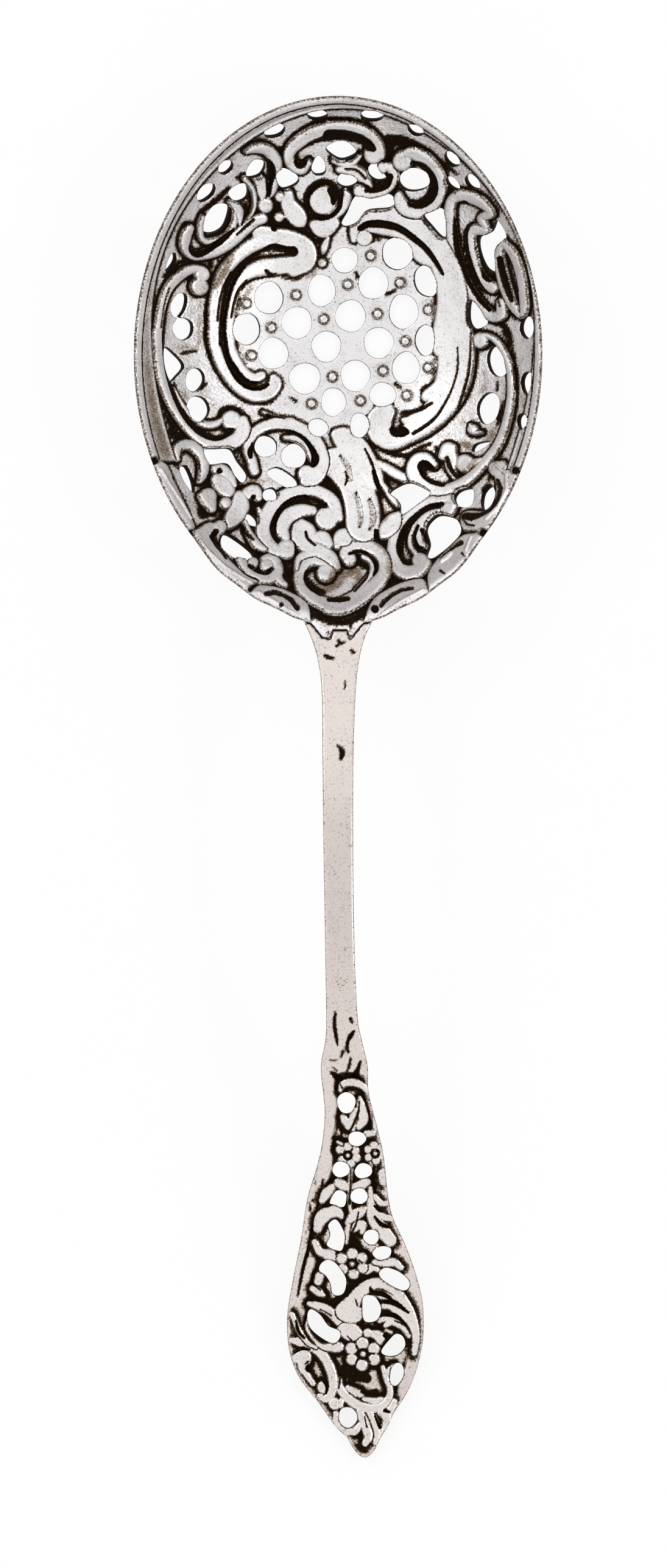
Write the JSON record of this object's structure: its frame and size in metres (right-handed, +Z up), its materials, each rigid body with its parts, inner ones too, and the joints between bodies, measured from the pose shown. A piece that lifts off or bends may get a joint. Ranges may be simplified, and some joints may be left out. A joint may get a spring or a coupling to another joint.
{
  "type": "berry spoon",
  "caption": "Antique silver berry spoon: broad egg-shaped bowl, pierced and dressed with scrolls, on an arched flat stem with a pierced leaf-shaped end.",
  "frame": {"origin": "bottom centre of the spoon's box: on the table plane, halfway along its length and width", "axes": "+Y from the handle's end to the bowl's tip, +Z up out of the bowl's hollow, +X to the right of the bowl seen from above with the tip at the top"},
  "size_m": [0.067, 0.224, 0.025],
  "materials": {
    "silver_bowl": "satin",
    "silver_relief": "polished",
    "silver_stem": "satin"
  },
  "bodies": {
    "root": {"bowl_sheet": "silver_bowl", "rim_band": "silver_relief", "border_left_upper": "silver_relief", "border_left_lower": "silver_relief", "border_left_heel": "silver_relief", "border_right_upper": "silver_relief", "border_right_lower": "silver_relief", "border_right_heel": "silver_relief", "tip_scroll": "silver_relief", "top_right_scroll": "silver_relief", "top_small_curl": "silver_relief", "upper_left_scroll": "silver_relief", "left_rim_scroll": "silver_relief", "left_main_scroll": "silver_relief", "right_main_scroll": "silver_relief", "right_upper_scroll": "silver_relief", "right_rim_leaf": "silver_relief", "right_long_scroll": "silver_relief", "centre_bud": "silver_relief", "left_lower_curl": "silver_relief", "lower_left_flower": "silver_relief", "centre_left_scroll": "silver_relief", "plume": "silver_relief", "lower_mid_scroll": "silver_relief", "heel_leaf_scroll": "silver_relief", "heel_cartouche": "silver_relief", "right_lower_scroll": "silver_relief", "left_small_scroll": "silver_relief", "lattice_bosses": "silver_relief", "handle": "silver_stem", "end_leaf_sprig": "silver_relief", "end_stalk": "silver_relief", "end_flowers": "silver_relief", "end_right_scroll": "silver_relief", "end_left_scroll": "silver_relief", "end_lower_scroll": "silver_relief"}
  },
  "joints": []
}
